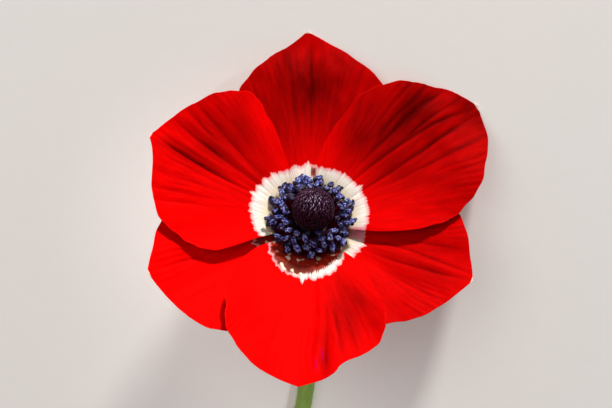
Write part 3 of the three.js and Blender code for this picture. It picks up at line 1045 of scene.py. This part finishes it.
def add_dome(heap):
    """The dark dome that the styles stand on."""
    points = []
    for row in range(DOME_ROWS + 1):
        angle = lerp(DOME_START, 1, row / DOME_ROWS) * math.pi / 2
        ways = [dome_way(angle, 360 * k / DOME_SIDES) for k in range(DOME_SIDES)]
        points += [dome_point(way, -DOME_SUNK) for way in ways]
    bottom, _ = end_faces(DOME_ROWS + 1, DOME_SIDES)
    heap.add(to_part(points), [bottom] + ring_faces(DOME_ROWS + 1, DOME_SIDES))


def add_style(heap, i, brightest):
    """One style, lying over the dome. They are combed one way, each a little askew."""
    way = dome_way(math.asin(lerp(-0.75, 1, (i + 0.5) / STYLES)), i * GOLDEN_ANGLE)
    comb = on_flower(COMBED_TOWARDS + drawn(-35, 35, i, 21), 1, 0.1)
    comb = unit(comb - way * (comb @ way)) * drawn(0.12, 0.22, i, 22)
    stands = drawn(-0.36, -0.12, i, 23)
    heights = [-0.75, -0.4, stands, stands + 0.04, stands - 0.06]
    path = []
    for forward, height in zip(STYLE_RUN, heights):
        path.append(dome_point(unit(way + comb * forward), height))
    points, faces = tube(to_part(path), STYLE_RADII, STYLE_SIDES)
    # painted highlight: the more a style faces the brightest way, the paler it is
    light = lerp(0.25, 1, max(way @ brightest, 0) ** 3) * drawn(0.25, 1.2, i, 24)
    heap.add(points, faces, np.repeat([0.0, 0.05, 0.6 * light, light, light], STYLE_SIDES))


def make_pistil(material):
    heap = Heap()
    add_dome(heap)
    brightest = dome_way(math.radians(HIGHLIGHT_ANGLE), HIGHLIGHT_COMPASS)
    for i in range(STYLES):
        add_style(heap, i, brightest)
    heap.object("pistil_head_fine", material, ["pistil_head"])


def pistil_material():
    n = Nodes("pistil")
    tint = n.attribute("tint")
    grain = n.noise(n.place(), 3000.0, 2)
    dark = n.mix(grain, PISTIL_BLACK, PISTIL_DARK)
    violet = n.mix(n.between(tint, 0.05, 0.4), dark, PISTIL_VIOLET)
    # painted highlight on the styles that face the brightest way
    colour = n.mix(n.between(tint, 0.4, 1.1), violet, PISTIL_HIGHLIGHT)
    n.set(Base_Color=colour, Roughness=0.5, Specular_IOR_Level=0.15, Normal=n.bump(grain, 0.00003, 0.5))
    return n.material


# Stem

def bezier(points, count):
    t = np.linspace(0, 1, count)[:, None]
    a, b, c, d = [np.array(p) for p in points]
    return (1 - t) ** 3 * a + 3 * t * (1 - t) ** 2 * b + 3 * t * t * (1 - t) * c + t**3 * d


def post_profile():
    """Heights and radii of the receptacle, from its top inside the flower down to the stem."""
    shoulder = OUTER_WHORL - PETAL_THICKNESS - CLEARANCE
    return [
        (PISTIL_FOOT - CLEARANCE, 0.02),
        (PISTIL_FOOT - CLEARANCE, POST_RADIUS - 0.4),
        (COLLAR_TOP, POST_RADIUS),
        (COLLAR_FOOT, POST_RADIUS),
        (COLLAR_FOOT - 0.6, POST_RADIUS),
        (shoulder + 1.0, POST_RADIUS),
        (shoulder + 0.9, 3.2),
        (shoulder + 0.6, 3.6),
        (shoulder, 3.75),
        (-0.8, 3.7),
        (-1.2, 3.45),
        (-1.6, 3.1),
    ]


def stem_line():
    """The stem's middle line and radii, and how many of the points are the receptacle's."""
    back = np.array(HEAD.to_3x3() @ Vector((0, 0, -1)))
    seat = np.array(SEAT)
    start = seat + back * 2
    landing = seat * [1, 1, 0] + [*STEM_LANDING, STEM_RADIUS - PRESSED_FLAT]
    end = seat * [1, 1, 0] + [STEM_SWEEP, STEM_LENGTH, STEM_RADIUS - PRESSED_FLAT]
    neck = bezier([start, start + back * 7, landing + [0, -11, 0], landing], NECK_POINTS)[1:]
    lying = bezier([landing, landing + [0, 28, 0], end + [-13, -14, 0], end], LYING_POINTS)[1:]
    post = post_profile()
    line = np.concatenate([[seat - back * height for height, _ in post], neck, lying])
    steps = np.linalg.norm(np.diff(line[len(post) :], axis=0), axis=1)
    swell = np.exp(-np.concatenate([[0], np.cumsum(steps)]) / NECK_SWELL)
    radii = np.concatenate([[radius for _, radius in post], STEM_RADIUS + swell])
    return line, radii, len(post)


def make_stem(material):
    line, radii, post = stem_line()
    ways = np.gradient(line, axis=0)
    ways[:post] = line[post] - line[0]
    ways = unit(ways)
    angles = np.linspace(0, 2 * math.pi, STEM_SIDES, endpoint=False)
    row = np.arange(len(line))[:, None]
    ribs = 0.05 * np.cos(7 * angles + row * 0.012) + 0.025 * np.cos(16 * angles - row * 0.02)
    skin = ribs + 0.03 * np.sin(row * 0.13) - 0.04
    radii = radii[:, None] + skin * (row > post)
    rings = swept(line, ways, np.cross(ways[0], [1.0, 0, 0]), radii, STEM_SIDES)
    end = rings[-1]
    middle = end.mean(axis=0)
    for inset, stands_out in CUT_END:
        rings.append(middle + (end - middle) * inset + ways[-1] * stands_out)
    count = len(rings)
    points = np.concatenate(rings)
    points[:, 2] = np.maximum(points[:, 2], 0.0)
    faces = end_faces(count, STEM_SIDES) + ring_faces(count, STEM_SIDES)
    values = {
        "cut": np.arange(count) >= count - CUT_RINGS,
        "hidden": np.arange(count) < HIDDEN_RINGS,
        "share": np.linspace(0, 1, count),
    }
    values = {key: np.repeat(numbers, STEM_SIDES) for key, numbers in values.items()}
    new_object("stem_fine", points, faces, [material], ["stem"], values)


def stem_material():
    n = Nodes("stem")
    patch = n.noise(n.place(), 180.0, 3)
    grain = n.noise(n.place(), 1400.0, 2)
    green = n.mix(n.between(patch, 0.35, 0.65), STEM_GREEN, STEM_LIGHT_GREEN)
    green = n.mix(n.between(grain, 0.45, 0.8, 0, 0.4), green, STEM_GRAIN)
    green = n.mix(n.between(n.attribute("share"), 0.02, 0.3, 0.45, 0), green, STEM_BLUSH)
    colour = n.mix(n.attribute("cut"), green, n.mix(grain, STEM_PITH, STEM_PALE_PITH))
    # painted shade inside the flower
    colour = n.mix(n.attribute("hidden"), colour, STEM_INSIDE_SHADE)
    n.set(Base_Color=colour, Roughness=0.5, Specular_IOR_Level=0.3, Normal=n.bump(grain, 0.00006, 0.6))
    n.set(Subsurface_Weight=0.2, Subsurface_Radius=(0.6, 1.0, 0.2), Subsurface_Scale=0.0006)
    return n.material


def add_hair(heap, root, way, length):
    """A fine hair: a thin spike with three sides and a sunk root."""
    side = unit(np.cross(way, OFF_HAIRS))
    other = np.cross(way, side)
    foot = root - way * HAIR_ROOT
    points = []
    for angle in (0, 2 * math.pi / 3, 4 * math.pi / 3):
        points.append(foot + HAIR_RADIUS * (math.cos(angle) * side + math.sin(angle) * other))
    points.append(root + way * length)
    heap.add(np.array(points), [[0, 2, 1], [0, 1, 3], [1, 2, 3], [2, 0, 3]])


def make_stem_hairs(material):
    heap = Heap()
    line, radii, post = stem_line()
    steps = np.gradient(line, axis=0)
    first, last = post + 3, len(line) - 2
    for i in range(HAIRS):
        row = first + int(drawn(0, last - first, i, 31))
        way = unit(steps[row])
        side = unit(np.cross(way, OFF_PATH))
        angle = drawn(0, 2 * math.pi, i, 32)
        out = math.cos(angle) * side + math.sin(angle) * np.cross(way, side)
        root = line[row] + steps[row] * drawn(0, 1, i, 33) + out * (radii[row] - 0.05)
        leaning = way * drawn(-0.5, 0.3, i, 34) + np.cross(way, out) * drawn(-0.15, 0.15, i, 35)
        direction = out + leaning
        length = drawn(0.35, 0.85, i, 36)
        if root[2] + direction[2] * length > 0.05:
            add_hair(heap, root, unit(direction), length)
    heap.object("stem_hairs", material)


def hair_material():
    n = Nodes("hairs")
    n.set(Base_Color=n.mix(n.noise(n.place(), 900.0), HAIR_GREY, HAIR_WHITE))
    n.set(Roughness=0.5, Specular_IOR_Level=0.4)
    return n.material


# The floor, the light and the camera

def floor_material():
    n = Nodes("floor")
    colour = n.mix(n.noise(n.place(), 300.0, 3), FLOOR_GREY, FLOOR_WHITE)
    n.set(Base_Color=colour, Roughness=0.8, Specular_IOR_Level=0.1)
    n.set(Emission_Color=(1.0, 0.985, 0.96), Emission_Strength=0.14)
    return n.material


def make_floor():
    mesh = bpy.data.meshes.new("floor")
    signs = [(-1, -1), (1, -1), (1, 1), (-1, 1)]
    mesh.from_pydata([(x * FLOOR_HALF, y * FLOOR_HALF, 0) for x, y in signs], [], [(0, 1, 2, 3)])
    mesh.materials.append(floor_material())
    linked("floor", mesh)


def view_axes():
    """The photograph's right, up and back directions in the part's frame."""
    tilt = Matrix.Rotation(math.radians(VIEW_TILT), 3, Vector(on_flower(VIEW_COMPASS + 90, 1, 0)))
    turn = HEAD.to_3x3() @ tilt
    return turn @ Vector((-1, 0, 0)), turn @ Vector((0, -1, 0)), turn @ Vector((0, 0, 1))


def make_camera():
    right, up, back = view_axes()
    across = (FRAME_PIXELS[0] / 2 - BASE_PIXEL[0]) * MM_PER_PIXEL
    raised = (BASE_PIXEL[1] - FRAME_PIXELS[1] / 2) * MM_PER_PIXEL
    target = SEAT + right * across + up * raised
    camera = linked("camera", bpy.data.cameras.new("camera"))
    camera.data.sensor_width = SENSOR_WIDTH
    camera.data.lens = SENSOR_WIDTH * VIEW_DISTANCE / (FRAME_PIXELS[0] * MM_PER_PIXEL)
    camera.data.clip_start = 0.01
    place = (target + back * VIEW_DISTANCE) * MM
    rotation = Matrix((right, up, back)).transposed().to_4x4()
    camera.matrix_world = Matrix.Translation(place) @ rotation
    bpy.context.scene.camera = camera


def new_light(name, kind, aim, direction, distance, power):
    """A light that shines on aim, a point in millimetres, from a distance in metres."""
    light = linked(name, bpy.data.lights.new(name, kind))
    light.data.energy = power
    direction = direction.normalized()
    light.location = aim * MM + direction * distance
    light.rotation_euler = direction.to_track_quat("Z", "Y").to_euler()
    return light.data


def make_area_light(name, direction, distance, size, power, colour):
    light = new_light(name, "AREA", SEAT, direction, distance, power)
    light.shape = "DISK"
    light.size = size
    light.color = colour


def make_spot(name, aim, direction, power, degrees):
    """A soft-edged spot light near the flower."""
    light = new_light(name, "SPOT", aim, direction, SPOT_DISTANCE, power)
    light.spot_size = math.radians(degrees)
    light.spot_blend = 1.0
    light.shadow_soft_size = 0.02


def make_light():
    right, up, back = view_axes()
    key_way = right * 0.24 + up * 0.92 + back * 0.3
    make_area_light("key", key_way, distance=1.2, size=0.14, power=18, colour=(1.0, 0.97, 0.92))
    fill_way = right * -0.5 + up * 0.2 + back * 1.0
    make_area_light("fill", fill_way, distance=1.5, size=1.2, power=4.5, colour=(1.0, 0.92, 0.86))
    line, _, _ = stem_line()
    from_below = up * -0.85 + back * 0.6 + right * 0.3
    make_spot("stem_light", Vector(line[-LIT_POINT]), from_below, power=5.5, degrees=6)
    lower_left = SEAT - right * 26 + up * 1
    make_spot("petal_light", lower_left, back - right * 0.5 - up * 0.4, power=6.5, degrees=3.4)
    world = bpy.data.worlds.new("studio")
    world.use_nodes = True
    background = world.node_tree.nodes["Background"]
    background.inputs["Color"].default_value = (1.0, 0.96, 0.93, 1)
    background.inputs["Strength"].default_value = 0.21
    bpy.context.scene.world = world
    bpy.context.scene.view_settings.view_transform = "Standard"


petal_materials = [petal_front_material(), petal_back_material()]
for number, petal in enumerate(PETALS):
    make_petal(petal, number, petal_materials)
make_stamens(stamen_material())
make_pistil(pistil_material())
make_stem(stem_material())
make_stem_hairs(hair_material())
make_floor()
make_camera()
make_light()
